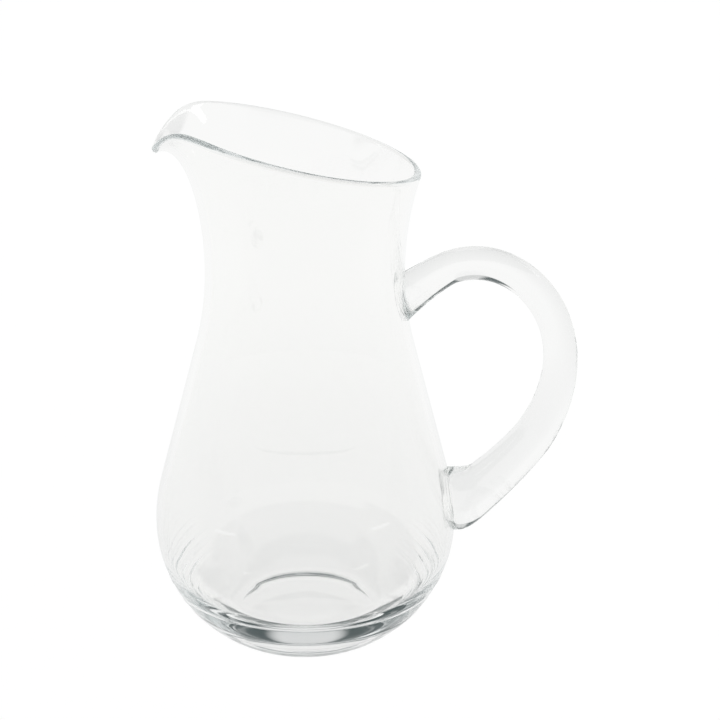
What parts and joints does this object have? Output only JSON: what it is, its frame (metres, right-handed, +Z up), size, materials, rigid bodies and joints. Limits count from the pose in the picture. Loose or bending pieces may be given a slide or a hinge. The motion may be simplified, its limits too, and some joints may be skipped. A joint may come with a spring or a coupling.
{
  "type": "glass pitcher",
  "caption": "Blown clear glass pitcher with a pear-shaped bowl, a slanted mouth with a pulled pouring spout, and an applied solid glass loop handle.",
  "frame": {"origin": "centre of the foot ring, on the surface that the pitcher stands on", "axes": "+Z up along the bowl's axis, +X towards the handle, -X towards the spout"},
  "size_m": [0.1804, 0.13, 0.2263],
  "materials": {
    "clear_glass": "clear, fire-polished"
  },
  "bodies": {
    "root": {"body": "clear_glass", "handle": "clear_glass"}
  },
  "joints": []
}
